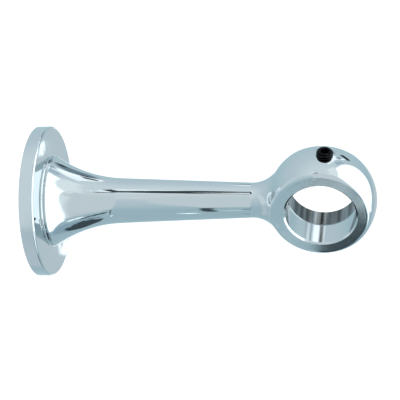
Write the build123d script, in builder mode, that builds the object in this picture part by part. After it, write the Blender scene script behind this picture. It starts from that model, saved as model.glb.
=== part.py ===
from build123d import *
from math import cos, radians, sin, tan
import os

# Curtain rod bracket: a round wall plate, a flared and tapering arm and a ball-shaped head, cast in one
# piece, with a cross bore for the rod and a set screw that locks it. Millimetres.
# The origin is the middle of the plate's wall side. +X points out of the wall, the rod lies along Y and
# +Z is up. The front of the head, where the wider part of the bore opens, faces -Y.

# Rod and reach
rod_d = 25.0
reach = 106.0  # wall to the rod's centre line

# Wall plate
plate_d = 56.0
plate_t = 5.3
plate_front_radius = 0.8
plate_back_chamfer = 0.2
plate_rim_w = 3.0  # width of the rim that bears on the wall
recess_depth = 3.0  # cored recess behind the plate
recess_floor_radius = 1.0

# Stud boss in the recess, with an M8 tapped blind hole for the wall stud
boss_d = 18.0
boss_setback = 0.3  # the boss stops short of the wall, so that the plate's rim seats first
stud_thread_d = 8.0
stud_hole_depth = 17.0  # from the wall
stud_hole_lead_in = 0.8
drill_point_angle = 118.0
thread_clearance = 0.05  # radial, between a thread's outside and its tapped hole

# Flared base and arm
flare_base_d = 33.6
flare_foot_radius = 0.4  # small fillet on the plate's face
flare_collar = 1.15  # from the plate's face to the corner where the collar turns into the flare
flare_shoulder_radius = 1.2  # rounds that corner
flare_half_angle = 33.5  # between the flare's side and the arm's axis
flare_blend_radius = 48.5  # runs the flare into the arm
arm_end_d = 12.6  # where the arm's cone comes level with the wall side of the head
arm_half_angle = 2.25  # the arm's taper

# Head: a ball with two flat sides
head_wall = 7.5  # from the rod to the outside of the ball
head_w = 18.7  # across the flats
head_edge_radius = 2.2
neck_radius = 10.7  # runs the arm into the ball

# Rod bore: a wider entry from the front, then the land that guides the rod
land_clearance = 0.1  # radial
entry_clearance = 0.3  # radial
bore_step_y = 1.3  # the step lies this far behind the middle of the head
entry_chamfer = 0.6
rear_chamfer = 0.5

# M6 x 8 set screw with a hexagon socket and a cup point, over the middle of the bore
screw_d = 6.0
screw_length = 8.0
screw_tilt = 5.4  # leans away from the wall, from the vertical
screw_tip_gap = 1.2  # backed off, the tip stays this far above the bore
screw_top_chamfer = 0.5
socket_across_flats = 3.0
socket_depth = 3.5
socket_lead_in = 0.25
cup_rim_d = 3.0
cup_depth = 0.7

# Radii and places worked out from these
plate_r = plate_d / 2
flare_base_r = flare_base_d / 2
head_r = rod_d / 2 + head_wall
head_half_w = head_w / 2
land_r = rod_d / 2 + land_clearance
entry_r = rod_d / 2 + entry_clearance
stud_hole_r = stud_thread_d / 2 + thread_clearance
screw_r = screw_d / 2
screw_tip = entry_r + screw_tip_gap  # both are distances from the rod's centre line
screw_top = screw_tip + screw_length

# The arm's cone, as a radius at a distance from the wall, and the places where the flare starts and ends
flare_slope = tan(radians(flare_half_angle))
arm_slope = tan(radians(arm_half_angle))
arm_end_x = reach - head_r


def arm_radius(x):
    return arm_end_d / 2 + arm_slope * (arm_end_x - x)


shoulder_x = plate_t + flare_collar
waist_x = (flare_base_r + flare_slope * shoulder_x - arm_radius(0)) / (flare_slope - arm_slope)

# The two flat sides of the head, and the set screw's own plane with its axis as the normal
head_front = Plane(origin=(reach, -head_half_w, 0), x_dir=(1, 0, 0), z_dir=(0, -1, 0))
head_rear = Plane(origin=(reach, head_half_w, 0), x_dir=(1, 0, 0), z_dir=(0, 1, 0))
screw_up = Vector(sin(radians(screw_tilt)), 0, cos(radians(screw_tilt)))
screw_side = Vector(cos(radians(screw_tilt)), 0, -sin(radians(screw_tilt)))
screw_plane = Plane(origin=(reach, 0, 0), x_dir=screw_side, z_dir=screw_up)

with BuildPart() as bracket_body:
    # Plate, flare, arm and ball as one turned outline about the arm's axis
    with BuildSketch(Plane.XZ) as outline:
        with BuildLine():
            Polyline(
                (0, 0),
                (0, plate_r),
                (plate_t, plate_r),
                (plate_t, flare_base_r),
                (shoulder_x, flare_base_r),
                (waist_x, arm_radius(waist_x)),
                (reach, arm_radius(reach)),
                (reach, 0),
                close=True,
            )
        make_face()
        with Locations((reach, 0)):
            Circle(head_r)
            Rectangle(2 * head_r, head_r, align=(Align.CENTER, Align.MAX), mode=Mode.SUBTRACT)
        blends = (
            ((arm_end_x, arm_radius(arm_end_x)), neck_radius),
            ((waist_x, arm_radius(waist_x)), flare_blend_radius),
            ((shoulder_x, flare_base_r), flare_shoulder_radius),
            ((plate_t, flare_base_r), flare_foot_radius),
            ((plate_t, plate_r), plate_front_radius),
        )
        for corner, radius in blends:
            fillet(outline.vertices().sort_by_distance(corner)[0], radius)
        chamfer(outline.vertices().sort_by_distance((0, plate_r))[0], plate_back_chamfer)
    revolve(axis=Axis.X)

    # Flat sides of the head, their outer edge rounded all the way across the neck
    for side in (head_front, head_rear):
        with BuildSketch(side):
            Rectangle(2 * (head_r + head_edge_radius), 2 * head_r)
        extrude(amount=head_r, mode=Mode.SUBTRACT)
    edges_by_y = bracket_body.edges().group_by(Axis.Y)
    fillet(edges_by_y[0] + edges_by_y[-1], head_edge_radius)

    # Stepped bore for the rod
    with Locations(head_front):
        CounterBoreHole(land_r, entry_r, head_half_w + bore_step_y, head_w)
    circles_by_y = bracket_body.edges().filter_by(GeomType.CIRCLE).group_by(Axis.Y)
    chamfer(circles_by_y[0].sort_by(SortBy.RADIUS)[0], entry_chamfer)
    chamfer(circles_by_y[-1].sort_by(SortBy.RADIUS)[0], rear_chamfer)

    # Hole for the set screw, from the top of the head into the bore
    with Locations(screw_plane.offset(head_r)):
        Hole(screw_r + thread_clearance, head_r)

    # Cored recess behind the plate, round the stud boss
    with BuildSketch(Plane.YZ):
        Circle(plate_r - plate_rim_w)
        Circle(boss_d / 2, mode=Mode.SUBTRACT)
    extrude(amount=recess_depth, mode=Mode.SUBTRACT)
    fillet(bracket_body.edges(Select.LAST).group_by(Axis.X)[-1], recess_floor_radius)
    with BuildSketch(Plane.YZ):
        Circle(boss_d / 2)
    extrude(amount=boss_setback, mode=Mode.SUBTRACT)

    # Tapped blind hole for the wall stud, with a lead-in and the drill's point
    with BuildSketch(Plane.XZ):
        with BuildLine():
            Polyline(
                (boss_setback, 0),
                (boss_setback, stud_hole_r + stud_hole_lead_in),
                (boss_setback + stud_hole_lead_in, stud_hole_r),
                (stud_hole_depth, stud_hole_r),
                (stud_hole_depth + stud_hole_r / tan(radians(drill_point_angle / 2)), 0),
                close=True,
            )
        make_face()
    revolve(axis=Axis.X, mode=Mode.SUBTRACT)
bracket_body.part.label = "bracket_body"

with BuildPart() as set_screw:
    # Turned outline in the plane that holds the screw's axis, from the cup point up to the socket end
    with BuildSketch(Plane(origin=screw_plane.origin, x_dir=screw_side, z_dir=-screw_plane.y_dir)):
        with BuildLine():
            Polyline(
                (0, screw_tip + cup_depth),
                (cup_rim_d / 2, screw_tip),
                (screw_r, screw_tip + screw_r - cup_rim_d / 2),
                (screw_r, screw_top - screw_top_chamfer),
                (screw_r - screw_top_chamfer, screw_top),
                (0, screw_top),
                close=True,
            )
        make_face()
    revolve(axis=Axis(screw_plane.origin, screw_up))

    # Hexagon socket with its lead-in
    with BuildSketch(screw_plane.offset(screw_top)):
        RegularPolygon(socket_across_flats / 2, 6, major_radius=False)
    extrude(amount=-socket_depth, mode=Mode.SUBTRACT)
    socket_rim = set_screw.edges(Select.LAST).group_by(Axis(screw_plane.origin, screw_up))[-1]
    chamfer(socket_rim, socket_lead_in)
set_screw.part.label = "set_screw"

os.makedirs("parts", exist_ok=True)
for piece in (bracket_body, set_screw):
    export_step(piece.part, f"parts/{piece.part.label}.step")
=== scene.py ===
from math import acos, cos, degrees, hypot, pi, radians, sin, sqrt, tan

import bmesh
import bpy
from bmesh.types import BMEdge, BMVert
from bpy.props import FloatProperty, FloatVectorProperty, PointerProperty
from bpy.types import Operator, Panel, PropertyGroup
from mathutils import Matrix, Vector


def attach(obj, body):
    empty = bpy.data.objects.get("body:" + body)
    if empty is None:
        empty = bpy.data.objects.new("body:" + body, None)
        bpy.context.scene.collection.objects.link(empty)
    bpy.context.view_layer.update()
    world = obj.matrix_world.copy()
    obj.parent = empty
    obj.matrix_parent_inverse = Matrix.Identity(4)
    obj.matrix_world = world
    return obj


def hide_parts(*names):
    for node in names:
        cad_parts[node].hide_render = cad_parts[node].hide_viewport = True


bl_info = {
    "name": "Curtain Rod Bracket",
    "version": (1, 0, 0),
    "blender": (4, 5, 0),
    "location": "3D View > Sidebar > Bracket",
    "description": "Makes a chrome-plated curtain rod bracket with its set screw, and a studio round it",
    "category": "Object",
}

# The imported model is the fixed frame: +X out of the wall, the rod along Y, +Z up, metres
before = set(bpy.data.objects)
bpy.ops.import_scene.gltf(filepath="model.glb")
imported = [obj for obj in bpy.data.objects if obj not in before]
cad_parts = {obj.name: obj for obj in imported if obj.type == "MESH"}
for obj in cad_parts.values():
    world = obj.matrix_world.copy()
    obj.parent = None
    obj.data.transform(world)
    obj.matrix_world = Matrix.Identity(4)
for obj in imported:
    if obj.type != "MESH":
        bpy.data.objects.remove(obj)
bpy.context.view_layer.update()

MM = 0.001
BODY = "root"

# Material slots of the casting
MIRROR, FACED, BORED, LAND, CAST = range(5)

# Vertices nearer than this become one, a place is found to within the next, and faces that meet at a sharper
# angle than the last keep their crease
MERGE, SLACK, CREASE = 0.001 * MM, 0.01 * MM, radians(30)


def length(name, description, default):
    """A size in metres, given here in millimetres."""
    metres = default * MM
    return FloatProperty(name=name, description=description, default=metres, min=0, unit="LENGTH", precision=5)


def share(name, description, default):
    return FloatProperty(name=name, description=description, default=default, min=0, max=1, subtype="FACTOR")


def tint(name, description, default):
    return FloatVectorProperty(
        name=name, description=description, default=default, min=0, max=1, size=3, subtype="COLOR"
    )


class BracketSizes(PropertyGroup):
    """The casting and its set screw."""

    reach: length("Reach", "From the wall to the rod's centre line", 106)
    rod: length("Rod", "Diameter of the curtain rod", 25)
    plate: length("Plate", "Diameter of the wall plate", 56)
    plate_thickness: length("Plate thickness", "From the wall to the plate's face", 5.3)
    plate_front_radius: length("Plate front radius", "Rounding of the plate's front edge", 0.8)
    plate_back_chamfer: length("Plate back chamfer", "Chamfer of the plate's wall edge", 0.2)
    plate_rim: length("Plate rim", "Width of the rim that bears on the wall", 3)
    recess_depth: length("Recess depth", "Depth of the cored recess behind the plate", 3)
    recess_radius: length("Recess radius", "Rounding of the recess floor's edges", 1)
    boss: length("Boss", "Diameter of the boss in the recess", 18)
    boss_setback: length("Boss setback", "How far the boss stops short of the wall", 0.3)
    stud: length("Stud thread", "Outside diameter of the wall stud's thread", 8)
    stud_pitch: length("Stud thread pitch", "From one turn of the stud's thread to the next", 1.25)
    stud_depth: length("Stud hole depth", "From the wall to the end of the full hole", 17)
    stud_lead_in: length("Stud hole lead-in", "Chamfer at the mouth of the stud's hole", 0.8)
    flare_base: length("Flare base", "Diameter of the flare at the plate", 33.6)
    flare_collar: length("Flare collar", "From the plate's face to the corner under the shoulder", 1.15)
    flare_shoulder: length("Flare shoulder", "Rounding of the flare's widest edge", 1.2)
    flare_blend: length("Flare blend", "Radius that runs the flare into the arm", 48.5)
    flare_foot: length("Flare foot", "Small rounding between the flare and the plate", 0.4)
    arm_end: length("Arm end", "Diameter of the arm level with the head's wall side", 12.6)
    head_wall: length("Head wall", "From the rod to the outside of the ball", 7.5)
    head_width: length("Head width", "Across the ball's two flat sides", 18.7)
    head_edge: length("Head edge radius", "Rounding of the edge round the flat sides", 2.2)
    neck: length("Neck radius", "Radius that runs the arm into the ball", 10.7)
    land_clearance: length("Land clearance", "Radial play of the rod in the rear of the bore", 0.1)
    entry_clearance: length("Entry clearance", "Radial play of the rod in the front of the bore", 0.3)
    bore_step: length("Bore step", "How far the bore's step lies behind the head's middle", 1.3)
    entry_chamfer: length("Entry chamfer", "Chamfer at the front of the bore", 0.6)
    rear_chamfer: length("Rear chamfer", "Chamfer at the rear of the bore", 0.5)
    screw: length("Set screw", "Outside diameter of the set screw's thread", 6)
    screw_pitch: length("Set screw pitch", "From one turn of the set screw's thread to the next", 1)
    screw_length: length("Set screw length", "From the set screw's tip to its socket end", 8)
    screw_gap: length("Set screw gap", "From the bore to the set screw's tip", 1.2)
    screw_chamfer: length("Set screw chamfer", "Chamfer at the set screw's socket end", 0.5)
    socket: length("Socket", "Across the flats of the hexagon socket", 3)
    socket_depth: length("Socket depth", "Depth of the hexagon socket", 3.5)
    socket_lead_in: length("Socket lead-in", "Chamfer round the mouth of the socket", 0.25)
    cup: length("Cup point", "Diameter of the rim of the cup point", 3)
    cup_depth: length("Cup depth", "Depth of the cup point", 0.7)
    thread_play: length("Thread play", "Between a thread's outside and its tapped hole", 0.05)


class BracketFinishes(PropertyGroup):
    """Colours and polish."""

    chrome: tint("Chrome", "Colour of the plating", (0.56, 0.6, 0.62))
    polish: share("Polish", "Roughness of the buffed outside", 0.03)
    satin: share("Satin", "Roughness of the faced sides of the head", 0.14)
    oxide: tint("Black oxide", "Colour of the set screw", (0.014, 0.015, 0.018))
    steel: tint("Worn steel", "Colour of the set screw where its thread's crests rub bare", (0.2, 0.2, 0.21))


# Angles of the turned outline and of the set screw
FLARE_ANGLE = radians(33.5)
ARM_ANGLE = radians(2.25)
SCREW_TILT = radians(5.4)
DRILL_POINT = radians(118)

# Depth of a thread on a screw and in a tapped hole, in pitches
SCREW_THREAD, HOLE_THREAD = 0.613, 0.54

# Slope that buffing leaves on the faced sides of the head, falling off outwards
FACE_FALL = 0.1

# Steps that the head is turned in, and how many of them the neck takes up on each side of the arm
HEAD_STEPS, NECK_STEPS = 256, 30

# Rings of the neck between the arm and the head, and tries in which a place on its core's edge is found
NECK_RINGS, TRIES = 30, 60

# Steps of the casting's small roundings, of the flare's blend into the arm and of one turn of each thread
ROUND, BLEND, SCREW_TURN, STUD_TURN = 8, 40, 48, 64

# Squares along a card's side, size of the waves in its ragged edges, and its highest edge in degrees
CARD_STEPS, WAVES, HIGHEST = 16, 0.05, 89

# Colours of the studio as the plating mirrors it
PALE, SHADE, DARK = (0.9, 0.98, 1.0), (0.66, 0.88, 0.98), (0.6, 0.85, 1.0)
FRONT, BACK = (0.86, 0.96, 1.0), (0.79, 0.93, 1.0)

# The light tent stands round this place, and its colours go from its foot to its top
STUDIO_MIDDLE = Vector((0.06, 0, 0))
TENT_RADIUS, TENT_LIGHT = 1.2, 1.15
TENT_COLOURS = (
    (0.37, (0.47, 0.635, 0.70)),
    (0.50, (0.54, 0.70, 0.76)),
    (0.67, (0.63, 0.76, 0.82)),
    (0.85, (0.70, 0.81, 0.87)),
    (0.97, (0.83, 0.93, 0.97)),
)

# The floor lies far down, so that the shadow on it is faint. A pool of light is painted on it: round the pool's
# place it turns from white to grey.
FLOOR_DEPTH, FLOOR_SIZE, FLOOR_LIGHT = 1.3, 8, 0.7
PAINTED_POOL_PLACE, PAINTED_POOL_NEAR, PAINTED_POOL_FAR = (-0.33, 1.82, 0), 1.1, 2.4
PLAIN_GREY, GREY_PAST_PAINTED_POOL, WORLD_GREY = (0.8, 0.8, 0.8), (0.42, 0.44, 0.46), (0.74, 0.76, 0.78)
WORLD_LIGHT = 0.6

# The key lamp points at the origin
KEY_PLACE, KEY_SIZE, KEY_POWER = Vector((0.5, -0.6, 1.0)), 1.0, 14

# The camera at the photograph's viewing angle
CAMERA_PLACE, CAMERA_RIGHT = (0.145388, -0.397025, 0.304420), (0.98606, 0.12971, -0.10423)
CAMERA_UP, CAMERA_BACK = (0.00378, 0.60875, 0.79336), (0.16636, -0.78269, 0.59977)
LENS, SENSOR, NEAREST = 123.65, 36, 0.01


class Wire:
    """A line drawn in one plane of a mesh, straight runs and arcs one after the other, for turning."""

    def __init__(self, mesh, across, up, start, origin=(0, 0, 0)):
        self.mesh, self.origin = mesh, Vector(origin)
        self.across, self.up = Vector(across), Vector(up)
        self.at = Vector(start)
        self.tip = mesh.verts.new(self.place(self.at))
        self.edges = []

    def place(self, point):
        return self.origin + self.across * point[0] + self.up * point[1]

    def line(self, point, steps=1):
        start, point = self.at, Vector(point)
        for step in range(steps):
            made = bmesh.ops.extrude_vert_indiv(self.mesh, verts=[self.tip])
            self.tip = made["verts"][0]
            self.tip.co = self.place(start.lerp(point, (step + 1) / steps))
            self.edges += made["edges"]
        self.at = point

    def arc(self, centre, turn, steps):
        before = set(self.mesh.edges)
        axis = self.across.cross(self.up)
        made = bmesh.ops.spin(
            self.mesh, geom=[self.tip], cent=self.place(centre), axis=axis, angle=turn, steps=steps
        )
        self.tip = [part for part in made["geom_last"] if isinstance(part, BMVert)][0]
        self.edges += [edge for edge in self.mesh.edges if edge not in before]
        centre = Vector(centre)
        self.at = centre + Matrix.Rotation(turn, 2) @ (self.at - centre)

    def corner(self, corner, after, radius, steps):
        """Runs up to a corner and round it, towards the point after it."""
        corner, after = Vector(corner), Vector(after)
        back, on = (self.at - corner).normalized(), (after - corner).normalized()
        half = back.angle(on) / 2
        self.line(corner + back * (radius / tan(half)))
        centre = corner + (back + on).normalized() * (radius / sin(half))
        left = 1 if back.x * on.y - back.y * on.x < 0 else -1
        self.arc(centre, left * (pi - 2 * half), steps)

    def turned(self, centre, axis, angle, steps, whole=False, climb=0.0):
        """Turns the line about an axis, and moves it along the axis by the climb in each step."""
        verts = {vert for edge in self.edges for vert in edge.verts}
        bmesh.ops.spin(
            self.mesh, geom=list(verts) + self.edges, cent=centre, axis=axis,
            dvec=Vector(axis) * climb, angle=angle, steps=steps, use_merge=whole,
        )


class Casting:
    """Sizes worked out from the bracket's own, all in metres."""

    def __init__(self, sizes):
        self.plate = sizes.plate / 2
        self.stud = sizes.stud / 2 + sizes.thread_play
        self.flare = sizes.flare_base / 2
        self.ball = sizes.rod / 2 + sizes.head_wall
        self.side = sizes.head_width / 2
        self.edge = sizes.head_edge
        self.neck = sizes.neck
        self.reach = sizes.reach
        self.entry = sizes.rod / 2 + sizes.entry_clearance
        self.land = sizes.rod / 2 + sizes.land_clearance
        self.arm_end = sizes.arm_end / 2
        self.arm_end_x = self.reach - self.ball
        # The flare's and the arm's sides meet here, before their blend
        slopes = tan(FLARE_ANGLE) - tan(ARM_ANGLE)
        self.shoulder_x = sizes.plate_thickness + sizes.flare_collar
        foot = self.flare + tan(FLARE_ANGLE) * self.shoulder_x
        self.waist = (foot - self.arm_radius(0)) / slopes
        # Centre of the neck's rounding: its radius off the arm's side and off the ball
        line = self.arm_radius(self.reach) + self.neck / cos(ARM_ANGLE)
        slope = tan(ARM_ANGLE)
        swing = self.ball + self.neck
        a, b, c = 1 + slope**2, 2 * line * slope, line**2 - swing**2
        back = (-b + sqrt(b**2 - 4 * a * c)) / (2 * a)
        self.neck_centre = Vector((self.reach - back, line + slope * back))
        self.arm_way = Vector((cos(ARM_ANGLE), -sin(ARM_ANGLE)))
        self.arm_in = Vector((-sin(ARM_ANGLE), -cos(ARM_ANGLE)))
        self.neck_start = self.neck_centre + self.arm_in * self.neck
        self.ball_centre = Vector((self.reach, 0))
        self.ball_in = (self.ball_centre - self.neck_centre).normalized()
        # The rolled edge keeps this far from the ball's and the neck's own middle plane
        self.core_side = self.side - self.edge
        self.core_ball = self.ball - self.edge
        self.core_neck = self.neck + self.edge
        self.edge_radius = sqrt(self.core_ball**2 - self.core_side**2)
        # The head's inside and its outside meet on the flat sides, at this radius
        self.flat_ring = (self.entry + self.edge_radius) / 2 + 0.5 * MM

    def arm_radius(self, x):
        return self.arm_end + tan(ARM_ANGLE) * (self.arm_end_x - x)

    def core_outline(self, x, radius):
        """Nearest point of the turned outline of the core, one edge radius inside the arm, neck and ball."""
        point = Vector((x, radius))
        off = point - self.neck_centre
        if off.dot(self.arm_way) < 0:
            start = self.neck_centre + self.arm_in * self.core_neck
            return start + self.arm_way * (point - start).dot(self.arm_way)
        if self.ball_in.x * off.y - self.ball_in.y * off.x > 0:
            return self.ball_centre + (point - self.ball_centre).normalized() * self.core_ball
        return self.neck_centre + off.normalized() * self.core_neck

    def core_radius(self, x):
        end = self.neck_centre.x + self.ball_in.x * self.core_neck
        if x > end:
            return sqrt(self.core_ball**2 - (self.reach - x) ** 2)
        return self.neck_centre.y - sqrt(self.core_neck**2 - (x - self.neck_centre.x) ** 2)

    def on_neck(self, point):
        """Nearest point of the neck, which is the core and its flat sides, grown by the edge's radius."""
        radius = hypot(point.y, point.z)
        near = self.core_outline(point.x, radius)
        core = Vector((near.x, point.y / radius * near.y, point.z / radius * near.y))
        if abs(core.y) > self.core_side:
            side = self.core_side if point.y > 0 else -self.core_side
            core = Vector((point.x, side, point.z))
            if hypot(side, point.z) > self.core_radius(point.x):
                core = self.core_edge(point, side)
        return core + (point - core).normalized() * self.edge

    def core_edge(self, point, side):
        """Nearest point of the line where the core's flat side cuts its turned outline."""
        low = self.neck_centre.x + sqrt(self.core_neck**2 - (self.neck_centre.y - self.core_side) ** 2)
        high = self.reach - self.core_ball * 0.5

        def at(x):
            height = sqrt(max(self.core_radius(x) ** 2 - side**2, 0))
            return Vector((x, side, height if point.z > 0 else -height))

        for _ in range(TRIES):
            third = (high - low) / 3
            if (at(low + third) - point).length < (at(high - third) - point).length:
                high -= third
            else:
                low += third
        return at((low + high) / 2)


def placed(name, mesh, materials=()):
    """An object at the origin, with its place in its mesh."""
    data = bpy.data.meshes.new(name)
    mesh.to_mesh(data)
    mesh.free()
    for material in materials:
        data.materials.append(material)
    piece = bpy.data.objects.new(name, data)
    bpy.context.scene.collection.objects.link(piece)
    return piece


def smoothed(data):
    data.shade_smooth()
    data.set_sharp_from_angle(angle=CREASE)


def shape(name, mesh, materials):
    """A finished piece, which rides on the bracket."""
    piece = placed(name, mesh, materials)
    smoothed(piece.data)
    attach(piece, BODY)
    return piece


def even_normals(piece):
    """Keeps flat faces flat right up to the roundings beside them."""
    weighted = piece.modifiers.new("even normals", "WEIGHTED_NORMAL")
    weighted.mode = "FACE_AREA_WITH_ANGLE"
    weighted.keep_sharp = True


def weld(mesh, gap=MERGE):
    bmesh.ops.remove_doubles(mesh, verts=mesh.verts, dist=gap)


def closed(mesh, gap=MERGE):
    weld(mesh, gap)
    bmesh.ops.recalc_face_normals(mesh, faces=mesh.faces)


class Level:
    """A number in a node tree, on which Python's own operators work by adding Math nodes."""

    def __init__(self, nodes, socket):
        self.nodes, self.socket = nodes, socket

    def __add__(self, other):
        return maths("ADD", self, other)

    def __sub__(self, other):
        return maths("SUBTRACT", self, other)

    def __rsub__(self, other):
        return maths("SUBTRACT", other, self)

    def __mul__(self, other):
        return maths("MULTIPLY", self, other)

    def __truediv__(self, other):
        return maths("DIVIDE", self, other)

    def __pow__(self, other):
        return maths("POWER", self, other)

    def __gt__(self, other):
        return maths("GREATER_THAN", self, other)

    __radd__ = __add__
    __rmul__ = __mul__


def maths(operation, *values):
    """A Math node on levels and plain numbers."""
    nodes = next(value.nodes for value in values if isinstance(value, Level))
    return nodes.node("ShaderNodeMath", {"operation": operation}, dict(enumerate(values)))


def distance(across, up):
    return (across * across + up * up) ** 0.5


def ripple(along, pitch):
    """Runs from -1 to 1 and back in every pitch."""
    return maths("SINE", along * (2 * pi / pitch))


class Nodes:
    """A node tree to which nodes are added one by one."""

    def __init__(self, tree):
        self.tree = tree

    def node(self, kind, settings=None, inputs=None, output=0):
        made = self.tree.nodes.new(kind)
        for setting, value in (settings or {}).items():
            if setting == "stops":
                self.set_stops(made.color_ramp.elements, value)
            else:
                setattr(made, setting, value)
        for key, value in (inputs or {}).items():
            self.feed(made.inputs[key], value)
        return Level(self, made.outputs[output])

    def set_stops(self, stops, colours):
        """Puts a ramp's own stops in place of the two that it comes with."""
        for place, colour in colours:
            stops.new(place).color = (*colour, 1)
        stops.remove(stops[0])
        stops.remove(stops[-1])

    def feed(self, socket, value):
        """Links a level, or sets a number, a vector or a colour."""
        if isinstance(value, Level):
            self.tree.links.new(value.socket, socket)
        else:
            socket.default_value = (*value, 1) if socket.type == "RGBA" else value

    def split(self, vector):
        first = self.node("ShaderNodeSeparateXYZ", None, {0: vector})
        return [Level(self, socket) for socket in first.socket.node.outputs]

    def ranged(self, value, low, high, way="LINEAR"):
        """Runs from 0 to 1 as the value goes from low to high."""
        limits = {"Value": value, "From Min": low, "From Max": high}
        return self.node("ShaderNodeMapRange", {"interpolation_type": way}, limits)

    def mixed(self, share, low, high):
        """One colour running into another."""
        return self.node("ShaderNodeMix", {"data_type": "RGBA"}, {0: share, 6: low, 7: high}, output=2)

    def seen(self):
        """1 for what the camera sees straight, mirrored or through glass, and 0 for light on the bracket."""
        rays = [f"Is {kind} Ray" for kind in ("Camera", "Glossy", "Transmission")]
        camera, glossy, through = (self.node("ShaderNodeLightPath", output=ray) for ray in rays)
        return maths("MAXIMUM", maths("MAXIMUM", camera, glossy), through)

    def glow(self, colour, light):
        return self.node("ShaderNodeEmission", None, {"Color": colour, "Strength": light})

    def choice(self, share, first, second):
        return self.node("ShaderNodeMixShader", None, {0: share, 1: first, 2: second})

    def show(self, shader):
        """Puts a shader in place of the one that the tree comes with."""
        surface = self.tree.get_output_node("ALL").inputs["Surface"]
        self.tree.nodes.remove(surface.links[0].from_node)
        self.feed(surface, shader)


class Finish(Nodes):
    """A material, begun with its Principled shader."""

    def __init__(self, name, colour, metallic=0, roughness=1):
        self.material = bpy.data.materials.new(name)
        self.material.use_nodes = True
        self.material.diffuse_color = (*colour, 1)
        super().__init__(self.material.node_tree)
        self.shader = self.tree.nodes["Principled BSDF"].inputs
        for socket, value in (("Base Color", colour), ("Metallic", metallic), ("Roughness", roughness)):
            self.feed(self.shader[socket], value)

    def place(self, middle=(0, 0, 0), turn=(0, 0, 0)):
        """Object coordinates from a place on the piece, turned to its own axis."""
        where = self.node("ShaderNodeTexCoord", output="Object")
        moved = self.node("ShaderNodeVectorMath", {"operation": "SUBTRACT"}, {0: where, 1: middle})
        return self.node("ShaderNodeMapping", {"vector_type": "POINT"}, {"Vector": moved, "Rotation": turn})

    def noise(self, vector, size, detail=2.0):
        """Cloudy numbers round 0.5, in patches of a size in metres."""
        return self.node("ShaderNodeTexNoise", None, {"Vector": vector, "Scale": 1 / size, "Detail": detail})

    def bump(self, height, depth):
        """Height 0 to 1 over a depth in metres, onto the shader's normal."""
        inputs = {"Height": height * depth, "Distance": 1.0, "Strength": 1.0}
        self.feed(self.shader["Normal"], self.node("ShaderNodeBump", None, inputs))

    def colour(self, share, low, high):
        self.feed(self.shader["Base Color"], self.mixed(share, low, high))

    def roughness(self, level):
        self.feed(self.shader["Roughness"], level)


def darker(colour, share):
    return tuple(channel * share for channel in colour)


def mirror_chrome(finishes):
    """Buffed and plated outside: a soft waviness under the shine, and a trace of polishing haze."""
    finish = Finish("mirror chrome", finishes.chrome, 1, finishes.polish)
    where = finish.place()
    wave = finish.noise(where, 9 * MM, 1)
    haze = finish.noise(where, 14 * MM, 4)
    finish.colour(haze, darker(finishes.chrome, 0.96), finishes.chrome)
    finish.roughness(finishes.polish + haze * 0.02)
    finish.bump(wave, 0.03 * MM)
    return finish.material


def faced_chrome(finishes, middle, edge):
    """Faced sides of the head: fine rings round the bore under the plating."""
    finish = Finish("faced chrome", finishes.chrome, 1, finishes.satin)
    where = finish.place(middle)
    across, _, up = finish.split(where)
    radius = distance(across, up)
    patch = finish.noise(where, 3 * MM, 3)
    finish.colour(patch, darker(finishes.chrome, 0.92), finishes.chrome)
    finish.roughness(finishes.satin + patch * 0.08)
    crown = (radius - edge) * -FACE_FALL
    finish.bump((ripple(radius, 0.22 * MM) + patch) * (0.002 * MM) + crown, 1)
    return finish.material


def bored_chrome(finishes, middle):
    """Walls of the bore: fine tool marks round them, hardly polished."""
    finish = Finish("bored chrome", finishes.chrome, 1, finishes.polish)
    where = finish.place(middle)
    _, along, _ = finish.split(where)
    patch = finish.noise(where, 2.5 * MM, 3)
    finish.colour(patch, darker(finishes.chrome, 0.9), finishes.chrome)
    finish.roughness(finishes.polish + 0.02 + patch * 0.06)
    finish.bump(ripple(along, 0.18 * MM) * 0.5 + patch, 0.002 * MM)
    return finish.material


def land_chrome_painted_shade(finishes, middle):
    """Rear land of the bore: reamed before plating, duller and streaked along the bore. Its colour is painted
    shade, far darker than the plating, in streaks of deeper and lighter shade along the bore.
    """
    finish = Finish("land chrome with painted shade", darker(finishes.chrome, 0.5), 1, 0.12)
    across, along, up = finish.split(finish.place(middle))
    where = finish.node("ShaderNodeCombineXYZ", None, {0: across, 1: along * 0.04, 2: up})
    streaks_and_painted_shade = finish.noise(where, 2.2 * MM, 4)
    # Painted shade deep in the bore: both colours are far darker than the plating
    deep_painted_shade, light_painted_shade = darker(finishes.chrome, 0.12), darker(finishes.chrome, 0.45)
    finish.colour(finish.ranged(streaks_and_painted_shade, 0.4, 0.68), deep_painted_shade, light_painted_shade)
    finish.roughness(0.06 + streaks_and_painted_shade * 0.12)
    finish.bump(streaks_and_painted_shade, 0.01 * MM)
    return finish.material


def cast_chrome(finishes):
    """Back of the plate: plated as cast, with its grain left."""
    finish = Finish("plated casting", darker(finishes.chrome, 0.85), 1, 0.35)
    where = finish.place()
    grain = finish.noise(where, 0.5 * MM, 5)
    patch = finish.noise(where, 6 * MM, 3)
    finish.colour(patch, darker(finishes.chrome, 0.65), darker(finishes.chrome, 0.92))
    finish.roughness(0.25 + grain * 0.3)
    finish.bump(grain + patch, 0.05 * MM)
    return finish.material


def black_oxide(finishes, sizes, middle):
    """Set screw: black oxide with a trace of oil, rubbed brighter on the thread's crests."""
    finish = Finish("black oxide steel", finishes.oxide, 1, 0.3)
    where = finish.place(middle, (0, -SCREW_TILT, 0))
    across, deep, _ = finish.split(where)
    grain = finish.noise(where, 0.25 * MM, 4)
    rubbed = (distance(across, deep) > sizes.screw / 2 - 0.06 * MM) * (grain > 0.52)
    finish.colour(rubbed * 0.3, darker(finishes.oxide, 0.4), finishes.steel)
    finish.roughness(0.16 + grain * 0.2)
    finish.bump(grain, 0.012 * MM)
    return finish.material


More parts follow.
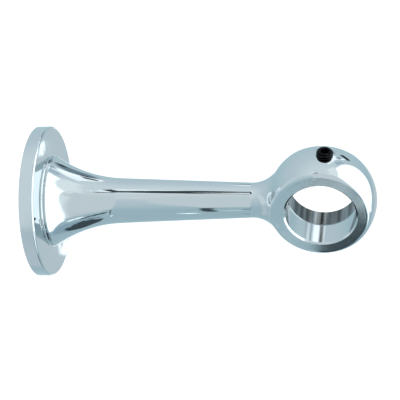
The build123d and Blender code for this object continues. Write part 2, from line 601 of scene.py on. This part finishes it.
class BRACKET_OT_casting(Operator):
    """Turn the plate, flare and arm, turn the head about the bore, and run the neck into both"""

    bl_idname = "bracket.casting"
    bl_label = "Casting"

    def execute(self, context):
        sizes, finishes = context.scene.bracket_sizes, context.scene.bracket_finishes
        casting = Casting(sizes)
        mesh = bmesh.new()
        ring = self.head(mesh, sizes, casting)
        arm = self.arm(mesh, sizes, casting, len(ring))
        self.join(mesh, casting, arm, ring)
        closed(mesh)
        open_edges = [edge for edge in mesh.edges if not edge.is_manifold]
        if open_edges:
            raise RuntimeError(f"the casting has {len(open_edges)} open edges")
        self.sort_faces(mesh, sizes, casting)
        middle = (sizes.reach, 0, 0)
        materials = [
            mirror_chrome(finishes),
            faced_chrome(finishes, middle, casting.entry),
            bored_chrome(finishes, middle),
            land_chrome_painted_shade(finishes, middle),
            cast_chrome(finishes),
        ]
        piece = shape("bracket_casting", mesh, materials)
        self.screw_hole(context, piece, sizes)
        even_normals(piece)
        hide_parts("bracket_body")
        return {"FINISHED"}

    def arm(self, mesh, sizes, casting, steps):
        """Turned about the arm's axis, from the stud hole's end out over the plate to the neck."""
        stud, boss, rim = casting.stud, sizes.boss / 2, casting.plate - sizes.plate_rim
        face, floor = sizes.plate_thickness, sizes.recess_depth
        mouth = sizes.boss_setback
        point = sizes.stud_depth + stud / tan(DRILL_POINT / 2)
        wire = Wire(mesh, (1, 0, 0), (0, 0, 1), (point, 0))
        wire.line((sizes.stud_depth, stud), steps=4)
        wire.line((mouth + sizes.stud_lead_in, stud), steps=12)
        wire.line((mouth, stud + sizes.stud_lead_in))
        wire.line((mouth, boss), steps=2)
        wire.corner((floor, boss), (floor, rim), sizes.recess_radius, ROUND)
        wire.corner((floor, rim), (0, rim), sizes.recess_radius, ROUND)
        wire.line((0, rim))
        wire.line((0, casting.plate - sizes.plate_back_chamfer))
        wire.line((sizes.plate_back_chamfer, casting.plate))
        wire.corner((face, casting.plate), (face, casting.flare), sizes.plate_front_radius, ROUND)
        shoulder = (casting.shoulder_x, casting.flare)
        waist = (casting.waist, casting.arm_radius(casting.waist))
        wire.corner((face, casting.flare), shoulder, sizes.flare_foot, steps=6)
        wire.corner(shoulder, waist, sizes.flare_shoulder, ROUND)
        wire.corner(waist, casting.neck_start, sizes.flare_blend, BLEND)
        wire.line(casting.neck_start, steps=20)
        wire.turned((0, 0, 0), (1, 0, 0), 2 * pi, steps, whole=True)
        weld(mesh)
        # The head is there already, so its own open edges, which are wider, are left out
        start, wide = casting.neck_start.x - SLACK, casting.arm_end * 1.2
        return [edge for edge in mesh.edges if edge.is_boundary
                and all(v.co.x > start and hypot(v.co.y, v.co.z) < wide for v in edge.verts)]

    def head(self, mesh, sizes, casting):
        """Turned about the bore: inside all the way round, outside all but where the neck comes in."""
        open_angle = 2 * pi * NECK_STEPS / HEAD_STEPS
        across = (-cos(open_angle), 0, sin(open_angle))
        bore, along = (sizes.reach, 0, 0), (0, 1, 0)
        side, ring, edge = casting.side, casting.flat_ring, casting.edge_radius
        roll = acos(casting.core_side / casting.core_ball)
        outside = Wire(mesh, across, along, (ring, -side), bore)
        outside.line((edge, -side), steps=2)
        outside.arc((edge, -casting.core_side), roll, steps=10)
        outside.arc((0, 0), pi - 2 * roll, steps=28)
        outside.arc((edge, casting.core_side), roll, steps=10)
        outside.line((ring, side), steps=2)
        outside.turned(bore, along, 2 * pi - 2 * open_angle, HEAD_STEPS - 2 * NECK_STEPS)
        inside = Wire(mesh, across, along, (ring, -side), bore)
        inside.line((casting.entry + sizes.entry_chamfer, -side), steps=2)
        inside.line((casting.entry, -side + sizes.entry_chamfer), steps=2)
        inside.line((casting.entry, sizes.bore_step), steps=12)
        inside.line((casting.land, sizes.bore_step))
        inside.line((casting.land, side - sizes.rear_chamfer), steps=10)
        inside.line((casting.land + sizes.rear_chamfer, side), steps=2)
        inside.line((ring, side), steps=2)
        inside.turned(bore, along, 2 * pi, HEAD_STEPS, whole=True)
        weld(mesh)
        return [edge for edge in mesh.edges if edge.is_boundary]

    def join(self, mesh, casting, arm, ring):
        """Bridges the arm's end to the opening in the head, and lays the new rings on the neck."""
        old = set(mesh.verts)
        made = bmesh.ops.bridge_loops(mesh, edges=arm + ring)
        bmesh.ops.subdivide_edgering(
            mesh, edges=made["edges"], interp_mode="LINEAR", smooth=0, cuts=NECK_RINGS, profile_shape="SMOOTH"
        )
        for vert in mesh.verts:
            if vert not in old:
                vert.co = casting.on_neck(vert.co)

    def sort_faces(self, mesh, sizes, casting):
        """Gives each face its finish by where it is."""
        for face in mesh.faces:
            middle = face.calc_center_median()
            from_bore = hypot(middle.x - sizes.reach, middle.z)
            from_axis = hypot(middle.y, middle.z)
            if from_bore < casting.entry + sizes.entry_chamfer and abs(middle.y) < casting.side:
                face.material_index = LAND if middle.y > sizes.bore_step else BORED
            elif abs(abs(middle.y) - casting.side) < SLACK and from_bore < casting.edge_radius:
                face.material_index = FACED
            elif middle.x < sizes.recess_depth + SLACK and from_axis < casting.plate - sizes.plate_rim:
                face.material_index = CAST
            elif middle.x < sizes.stud_depth + casting.stud and from_axis < casting.stud + SLACK:
                face.material_index = CAST

    def screw_hole(self, context, piece, sizes):
        """Cuts the set screw's hole from the top of the head into the bore."""
        drill = bmesh.new()
        radius = sizes.screw / 2 + sizes.thread_play
        depth = sizes.rod / 2 + sizes.head_wall
        bmesh.ops.create_cone(
            drill, cap_ends=True, segments=64, radius1=radius, radius2=radius, depth=depth,
            matrix=screw_place(sizes) @ Matrix.Translation((0, 0, depth)),
        )
        for face in drill.faces:
            face.material_index = BORED
        cutter = placed("drill", drill)
        cut = piece.modifiers.new("screw hole", "BOOLEAN")
        cut.operation, cut.solver, cut.object = "DIFFERENCE", "EXACT", cutter
        solid = piece.evaluated_get(context.evaluated_depsgraph_get())
        drilled = bpy.data.meshes.new_from_object(solid)
        piece.modifiers.clear()
        piece.data = drilled
        bpy.data.objects.remove(cutter)
        smoothed(drilled)


def screw_place(sizes):
    """The set screw's own place: its axis along Z, from the rod's centre line outwards."""
    return Matrix.Translation((sizes.reach, 0, 0)) @ Matrix.Rotation(SCREW_TILT, 4, "Y")


class BRACKET_OT_set_screw(Operator):
    """Cut the set screw's thread, and close it with a hexagon socket above and a cup point below"""

    bl_idname = "bracket.set_screw"
    bl_label = "Set screw"

    def execute(self, context):
        sizes, finishes = context.scene.bracket_sizes, context.scene.bracket_finishes
        tip = sizes.rod / 2 + sizes.entry_clearance + sizes.screw_gap
        top = tip + sizes.screw_length
        outside, pitch = sizes.screw / 2, sizes.screw_pitch
        root = outside - SCREW_THREAD * pitch
        mesh = bmesh.new()
        # One pitch of the thread's outline, wound up past both ends of the screw
        turns, low = round(sizes.screw_length / pitch) + 3, tip - 2 * pitch
        wire = Wire(mesh, (1, 0, 0), (0, 0, 1), (root, low))
        wire.line((root, low + pitch / 8))
        wire.line((outside, low + pitch * 7 / 16), 3)
        wire.line((outside, low + pitch * 9 / 16), 1)
        wire.line((root, low + pitch * 7 / 8), 3)
        wire.line((root, low + pitch))
        climb = pitch / SCREW_TURN
        wire.turned((0, 0, 0), (0, 0, 1), 2 * pi * turns, SCREW_TURN * turns, climb=climb)
        weld(mesh)
        bmesh.ops.subdivide_edges(mesh, edges=mesh.edges, cuts=1, use_grid_fill=True)
        # Chamfered above, coned to the cup's rim below
        shoulder = root - 0.02 * MM
        for vert in mesh.verts:
            radius = hypot(vert.co.x, vert.co.y)
            above = top - vert.co.z + outside - sizes.screw_chamfer
            below = vert.co.z - tip + sizes.cup / 2
            limit = max(min(above, below), shoulder)
            if radius > limit:
                vert.co.x *= limit / radius
                vert.co.y *= limit / radius
        cone_top = tip + shoulder - sizes.cup / 2 - SLACK
        for height, way in ((top - MERGE, 1), (cone_top, -1)):
            bmesh.ops.bisect_plane(
                mesh, geom=list(mesh.verts) + list(mesh.edges) + list(mesh.faces),
                plane_co=(0, 0, height), plane_no=(0, 0, way), clear_outer=True,
            )
        rims = [edge for edge in mesh.edges if edge.is_boundary]
        upper = [edge for edge in rims if edge.verts[0].co.z > (tip + top) / 2]
        lower = [edge for edge in rims if edge.verts[0].co.z < (tip + top) / 2]
        self.cup_point(mesh, lower, tip, sizes)
        self.hexagon(mesh, upper, top, sizes)
        closed(mesh, MERGE / 2)
        bmesh.ops.transform(mesh, matrix=screw_place(sizes), verts=mesh.verts)
        material = black_oxide(finishes, sizes, (sizes.reach, 0, 0))
        piece = shape("set_screw_threaded", mesh, [material])
        even_normals(piece)
        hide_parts("set_screw")
        return {"FINISHED"}

    def rim_to(self, mesh, rim, height, share=1.0, radius=None):
        """Extrudes a rim to another height, and to a share of its width or to one radius all round."""
        made = bmesh.ops.extrude_edge_only(mesh, edges=rim)["geom"]
        for vert in (part for part in made if isinstance(part, BMVert)):
            scale = radius / hypot(vert.co.x, vert.co.y) if radius else share
            vert.co = Vector((vert.co.x * scale, vert.co.y * scale, height))
        return [part for part in made if isinstance(part, BMEdge)]

    def cup_point(self, mesh, rim, tip, sizes):
        for share, sunk in ((1, 0), (0.94, 0), (0.5, 0.5), (0.04, 0.96)):
            rim = self.rim_to(mesh, rim, tip + sizes.cup_depth * sunk, radius=sizes.cup / 2 * share)
        bmesh.ops.edgeloop_fill(mesh, edges=rim)

    def hexagon(self, mesh, rim, top, sizes):
        """Socket: a chamfered mouth, six walls and a drilled floor."""
        corner = sizes.socket / 2 / cos(pi / 6)
        lead, depth = sizes.socket_lead_in, sizes.socket_depth
        mouth = corner + lead / cos(pi / 6)
        made = bmesh.ops.create_circle(mesh, segments=6, radius=mouth, matrix=Matrix.Translation((0, 0, top)))
        edges = list({edge for vert in made["verts"] for edge in vert.link_edges})
        bmesh.ops.subdivide_edges(mesh, edges=edges, cuts=7)
        mouth_rim = [edge for edge in mesh.edges if not edge.link_faces]
        for vert in {vert for edge in rim for vert in edge.verts}:
            vert.co.z = top
        bmesh.ops.triangle_fill(mesh, edges=rim + mouth_rim, use_beauty=True)
        walls = self.rim_to(mesh, mouth_rim, top - lead, corner / mouth)
        foot = self.rim_to(mesh, walls, top - depth)
        # The drill leaves the middle of the floor a little deeper
        floor = self.rim_to(mesh, foot, top - depth - 0.3 * MM, 0.5 * corner / mouth)
        bmesh.ops.edgeloop_fill(mesh, edges=floor)


class BRACKET_OT_stud_thread(Operator):
    """Wind the thread inside the boss, for the wall stud"""

    bl_idname = "bracket.stud_thread"
    bl_label = "Stud thread"

    def execute(self, context):
        sizes, finishes = context.scene.bracket_sizes, context.scene.bracket_finishes
        outside, pitch = sizes.stud / 2 + sizes.thread_play, sizes.stud_pitch
        crest = outside - HOLE_THREAD * pitch
        start = sizes.boss_setback + sizes.stud_lead_in + pitch / 2
        turns = int((sizes.stud_depth - start) / pitch) - 1
        mesh = bmesh.new()
        wire = Wire(mesh, (1, 0, 0), (0, 0, 1), (start - pitch * 7 / 16, outside))
        wire.line((start - pitch / 8, crest))
        wire.line((start + pitch / 8, crest))
        wire.line((start + pitch * 7 / 16, outside))
        wire.line((start - pitch * 7 / 16, outside))
        weld(mesh)
        section = bmesh.ops.contextual_create(mesh, geom=list(mesh.edges))["faces"]
        bmesh.ops.spin(
            mesh, geom=section + list(mesh.edges) + list(mesh.verts), cent=(0, 0, 0), axis=(1, 0, 0),
            dvec=(pitch / STUD_TURN, 0, 0), angle=2 * pi * turns, steps=STUD_TURN * turns,
        )
        # The first and the last half turn run out into the wall
        end = start + turns * pitch
        for vert in mesh.verts:
            radius = hypot(vert.co.y, vert.co.z)
            ends = min(vert.co.x - start + pitch / 2, end - vert.co.x + pitch / 2)
            limit = outside - (outside - crest) * min(max(ends / pitch, 0.05), 1)
            if radius < limit:
                vert.co.y *= limit / radius
                vert.co.z *= limit / radius
        closed(mesh)
        shape("stud_hole_thread", mesh, [cast_chrome(finishes)])
        return {"FINISHED"}


def studio_piece(name, mesh, material):
    """Part of the studio that only reflections show."""
    piece = placed(name, mesh, [material])
    piece.visible_camera = piece.visible_diffuse = piece.visible_shadow = False
    return piece


def card(name, corners, light, colour=PALE, far=0.9, soft=2.0, ragged=0.0):
    """A softbox or a dark flag on a sphere round the bracket. Its corners go round it anticlockwise, in
    degrees of azimuth and elevation seen from the bracket: azimuth 0 is the front and 90 the right. Its
    edges run out over the degrees in soft, and waver by those in ragged."""
    lefts, lows = zip(*corners)
    middle = (min(lefts) + max(lefts)) / 2
    spare = soft + ragged
    wide, low, high = (max(lefts) - min(lefts)) / 2 + spare, min(lows) - spare, max(lows) + spare
    mesh = bmesh.new()
    bmesh.ops.create_grid(mesh, x_segments=CARD_STEPS, y_segments=CARD_STEPS, size=1)
    for vert in mesh.verts:
        azimuth = radians(middle + wide * vert.co.x)
        height = (low + high) / 2 + (high - low) / 2 * vert.co.y
        elevation = radians(max(-HIGHEST, min(HIGHEST, height)))
        away = Vector((sin(azimuth) * cos(elevation), -cos(azimuth) * cos(elevation), sin(elevation)))
        vert.co = STUDIO_MIDDLE + away * far
    finish = Finish(name, colour)
    x, y, z = finish.split(finish.place(STUDIO_MIDDLE, (0, 0, radians(-middle))))
    across = maths("ARCTAN2", x, y * -1) * degrees(1)
    up = maths("ARCSINE", z / far) * degrees(1)
    if ragged:
        across = across + (finish.noise(finish.place(), WAVES, 3) - 0.5) * (4 * ragged)
        up = up + (finish.noise(finish.place((1, 1, 1)), WAVES, 3) - 0.5) * (4 * ragged)
    inside = 1
    for start, end in zip(corners, corners[1:] + corners[:1]):
        run, rise = end[0] - start[0], end[1] - start[1]
        off = ((up - start[1]) * run - (across - (start[0] - middle)) * rise) / hypot(run, rise)
        inside = inside * finish.ranged(off, -soft / 2, soft / 2, "SMOOTHSTEP")
    clear = finish.node("ShaderNodeBsdfTransparent")
    finish.show(finish.choice(inside, clear, finish.glow(colour, light)))
    studio_piece(name, mesh, finish.material)


def rail(name, start, end, width, light, colour, height):
    """A long light or flag overhead, from one place above the bracket to another."""
    mesh = bmesh.new()
    start, end = Vector((*start, height)), Vector((*end, height))
    turn = Vector((1, 0, 0)).rotation_difference(end - start).to_matrix().to_4x4()
    bmesh.ops.create_grid(mesh, x_segments=1, y_segments=1, size=0.5)
    bmesh.ops.scale(mesh, vec=((end - start).length, width, 1), verts=mesh.verts)
    bmesh.ops.transform(mesh, matrix=Matrix.Translation((start + end) / 2) @ turn, verts=mesh.verts)
    finish = Finish(name, colour)
    finish.show(finish.glow(colour, light))
    studio_piece(name, mesh, finish.material)


class BRACKET_OT_stage(Operator):
    """Lay the floor, hang the softboxes and flags, and set up the lamps, the world and the camera"""

    bl_idname = "bracket.stage"
    bl_label = "Stage"

    def execute(self, context):
        self.floor()
        self.world(context)
        self.tent()
        self.cards()
        self.lamps(context)
        self.camera(context)
        context.scene.view_settings.view_transform = "Standard"
        return {"FINISHED"}

    def floor(self):
        """A painted pool of light: white where the camera looks past the bracket, and pale grey round about."""
        mesh = bmesh.new()
        low = Matrix.Translation((0, 0, -FLOOR_DEPTH))
        bmesh.ops.create_grid(mesh, x_segments=1, y_segments=1, size=FLOOR_SIZE, matrix=low)
        finish = Finish("pale floor", PLAIN_GREY, roughness=0.9)
        finish.feed(finish.shader["Specular IOR Level"], 0)
        x, y, _ = finish.split(finish.place(PAINTED_POOL_PLACE))
        # Painted pool of light: the floor's glow for seen rays runs from white near one place to grey farther
        # off
        painted_pool = finish.ranged(distance(x, y), PAINTED_POOL_FAR, PAINTED_POOL_NEAR, "SMOOTHSTEP")
        finish.feed(finish.shader["Emission Color"], finish.mixed(painted_pool, GREY_PAST_PAINTED_POOL, (1, 1, 1)))
        finish.feed(finish.shader["Emission Strength"], finish.seen() * FLOOR_LIGHT)
        placed("floor", mesh, [finish.material])

    def world(self, context):
        """A little light on the bracket from all round, and pale grey past the floor's edge."""
        world = bpy.data.worlds.new("studio")
        context.scene.world = world
        world.use_nodes = True
        nodes = Nodes(world.node_tree)
        light = nodes.node("ShaderNodeBackground", None, {"Color": PLAIN_GREY, "Strength": WORLD_LIGHT})
        past = nodes.node("ShaderNodeBackground", None, {"Color": WORLD_GREY})
        nodes.show(nodes.choice(nodes.seen(), light, past))

    def tent(self):
        """Light tent round it all, darker towards its foot."""
        mesh = bmesh.new()
        bmesh.ops.create_uvsphere(mesh, u_segments=64, v_segments=32, radius=TENT_RADIUS)
        bmesh.ops.translate(mesh, vec=STUDIO_MIDDLE, verts=mesh.verts)
        finish = Finish("light tent", PALE)
        height = finish.split(finish.node("ShaderNodeTexCoord", output="Object"))[2]
        share = finish.ranged(height, -TENT_RADIUS, TENT_RADIUS)
        ramp = finish.node("ShaderNodeValToRGB", {"stops": TENT_COLOURS}, {0: share})
        finish.show(finish.glow(ramp, TENT_LIGHT))
        studio_piece("light tent", mesh, finish.material).data.shade_smooth()

    def cards(self):
        card("softbox right", [(30, -31), (114, -31), (131, -8), (137, 15), (137, 38), (128, 55), (62, 54),
                               (51, 40), (42, 27), (34, 8), (29, -14)], 2.4, soft=5)
        card("softbox glow", [(26, -22), (46, -22), (56, 44), (40, 44)], 1.26, far=0.91, soft=9)
        card("softbox foot", [(43, -50), (62, -32), (45, -27), (30, -28), (33, -34), (37, -41)], 2.2, soft=3)
        card("front screen", [(-5, -6), (31, -6), (50, 60), (-14, 60), (-6.4, 5)], 1.02, FRONT, 0.92, 1.5)
        card("front screen foot", [(1, -16), (33, -25), (33, 6), (-1, 6)], 0.98, FRONT, 0.93, 9)
        card("top screen", [(-36, 44), (60, 42), (60, 74), (-30, 74)], 1.06, far=0.93, soft=2)
        card("overhead glow", [(40, 50), (60, 51), (135, 56), (135, 72), (60, 72), (40, 64)],
             1.3, far=0.93, soft=10)
        card("lamp behind", [(151, 35), (186, 31), (184, 45), (172, 53), (152, 60)], 1.6, soft=3, ragged=1.5)
        card("flag above behind", [(138, 33), (144, 33), (148, 46), (140, 48)], 0.8, SHADE, 0.88, 3, 1.5)
        card("backdrop", [(168, -62), (205, -62), (205, -24), (168, -24)], 1.35)
        card("backdrop right", [(128, -60), (180, -60), (180, -20), (128, -20)], 0.84, BACK, 0.93, 8)
        card("flag behind right", [(147, 13.8), (159, 13.5), (159, 20.5), (147, 20.2)], 0.03, DARK, 0.88, 1.5)
        card("flag behind", [(164, 22), (172, 11), (184, 8), (185, 26), (178, 33), (167, 31)],
             0.42, DARK, 0.89, 4)
        card("flag core", [(174, 26), (180, 25), (181, 30), (175, 31)], 0.05, DARK, 0.88, 2, 1)
        card("flag core low", [(168, 16), (174, 10.5), (176, 13), (170, 18)], 0.05, DARK, 0.88, 1.5, 1)
        card("shade low front", [(8, -60), (38, -78), (50, -66), (46, -55), (34, -42), (2, -44)],
             0.68, DARK, 0.91, 5, 2)
        card("flag low front", [(-8, -66), (-8, -88), (38, -88), (40, -76), (34, -62), (14, -48), (-4, -53)],
             0.12, DARK, 0.89, 2, 4)
        card("flag low strip", [(-3.5, -24), (15, -40), (19, -37), (-1, -19)], 0.2, DARK, 0.89, 1.5, 2)
        card("flag low strip two", [(0, -46), (10, -44), (14, -40), (0, -42)], 0.35, DARK, 0.89, 1.5, 2)
        card("slit low front", [(13, -32), (26, -37), (28, -33), (15, -27)], 1.7, PALE, 0.88, 1.5, 1.5)
        card("slit low left", [(-9.8, -45), (-8.4, -45), (-8.4, -40), (-9.8, -40)], 2.2, far=0.88, soft=0.8)
        card("slit under arm", [(-5.4, -32), (-3.4, -32), (-3.2, -27.5), (-5, -27.5)], 1.1, far=0.88, soft=1)
        card("dash", [(-6.2, -34), (-5.4, -34), (-4.4, -9), (-5.2, -9)], 0.05, DARK, 0.87, 0.5)
        card("slit over bore", [(158, 30), (170, 34), (170, 42), (158, 40)], 1.9, far=0.87, soft=2)
        card("flag over bore", [(172, 35), (182, 36), (182, 44), (172, 43)], 0.03, DARK, 0.86, 3)
        card("slit over bore left", [(148.2, 22), (151, 24), (151, 31), (148.2, 29)], 1.7, far=0.87, soft=1)
        card("flag over bore left", [(152, 26), (156, 28), (156, 34), (152, 32)], 0.5, DARK, 0.86, 1)
        # Close to the head, so that only its front side shows it
        card("flag by the head", [(28, -39), (33, -49), (53, -49), (59, -27), (44, -21), (31, -31)],
             0.11, DARK, 0.1, 3)
        card("screen by the head", [(22, -29), (29, -31), (38, -25), (35.5, -15), (19.5, -15)],
             0.84, PALE, 0.103, 3)
        # Close to the plate, so that its rim shows them and the arm hardly does
        card("screen by the rim", [(-66, 2), (-40, 2), (-37, 64), (-66, 64)], 1.09, FRONT, 0.11, 12)
        card("screen under the rim", [(-66, -57), (-40, -53), (-40, 14), (-66, 14)], 0.9, BACK, 0.113, 12)
        card("glint high", [(163.9, -33.3), (164.5, -33.3), (164.8, -32.4), (164.2, -32.3)], 2, PALE, 0.86, 0.3)
        card("glint low", [(164.8, -40.2), (166.2, -40.2), (166.4, -39.2), (165, -39.4)], 2, PALE, 0.86, 0.3)
        # An overhead light and a flag below it: over the arm, then in a bend to the right over the flare
        way = ((0.025, 0.035), (-0.105, -0.14), (-0.005, -0.205), (0.45, -0.232))
        for name, widths, light, colour, height in (
            ("light", (0.32, 0.2, 0.17), 1.45, PALE, 0.92),
            ("flag", (0.125, 0.06, 0.055), 0.1, DARK, 0.9),
        ):
            for part, start, end, width in zip(("arm", "bend", "flare"), way[1:], way, widths):
                rail(f"{name} over the {part}", start, end, width, light, colour, height)

    def lamps(self, context):
        lamp = bpy.data.lights.new("key", "AREA")
        lamp.shape, lamp.size, lamp.size_y, lamp.energy = "RECTANGLE", KEY_SIZE, KEY_SIZE, KEY_POWER
        key = bpy.data.objects.new("key", lamp)
        key.location = KEY_PLACE
        key.rotation_euler = KEY_PLACE.to_track_quat("Z", "Y").to_euler()
        key.visible_glossy = key.visible_camera = False
        context.scene.collection.objects.link(key)

    def camera(self, context):
        lens = bpy.data.cameras.new("camera")
        lens.sensor_width, lens.lens, lens.clip_start = SENSOR, LENS, NEAREST
        camera = bpy.data.objects.new("camera", lens)
        place = Matrix((CAMERA_RIGHT, CAMERA_UP, CAMERA_BACK)).transposed().to_4x4()
        place.translation = CAMERA_PLACE
        camera.matrix_world = place
        context.scene.collection.objects.link(camera)
        context.scene.camera = camera


class BRACKET_PT_panel(Panel):
    """Sizes, finishes and the steps that make the bracket"""

    bl_idname = "BRACKET_PT_panel"
    bl_label = "Curtain Rod Bracket"
    bl_space_type = "VIEW_3D"
    bl_region_type = "UI"
    bl_category = "Bracket"

    def draw(self, context):
        layout = self.layout
        for maker in MAKERS:
            layout.operator(maker.bl_idname)
        for group in (context.scene.bracket_sizes, context.scene.bracket_finishes):
            box = layout.box()
            for name in group.__annotations__:
                box.prop(group, name)


MAKERS = (BRACKET_OT_casting, BRACKET_OT_set_screw, BRACKET_OT_stud_thread, BRACKET_OT_stage)
CLASSES = (BracketSizes, BracketFinishes, *MAKERS, BRACKET_PT_panel)


def register():
    for part in CLASSES:
        bpy.utils.register_class(part)
    bpy.types.Scene.bracket_sizes = PointerProperty(type=BracketSizes)
    bpy.types.Scene.bracket_finishes = PointerProperty(type=BracketFinishes)


def unregister():
    del bpy.types.Scene.bracket_sizes
    del bpy.types.Scene.bracket_finishes
    for part in reversed(CLASSES):
        bpy.utils.unregister_class(part)


def main():
    register()
    bpy.ops.bracket.casting()
    bpy.ops.bracket.set_screw()
    bpy.ops.bracket.stud_thread()
    bpy.ops.bracket.stage()


if __name__ == "__main__":
    main()
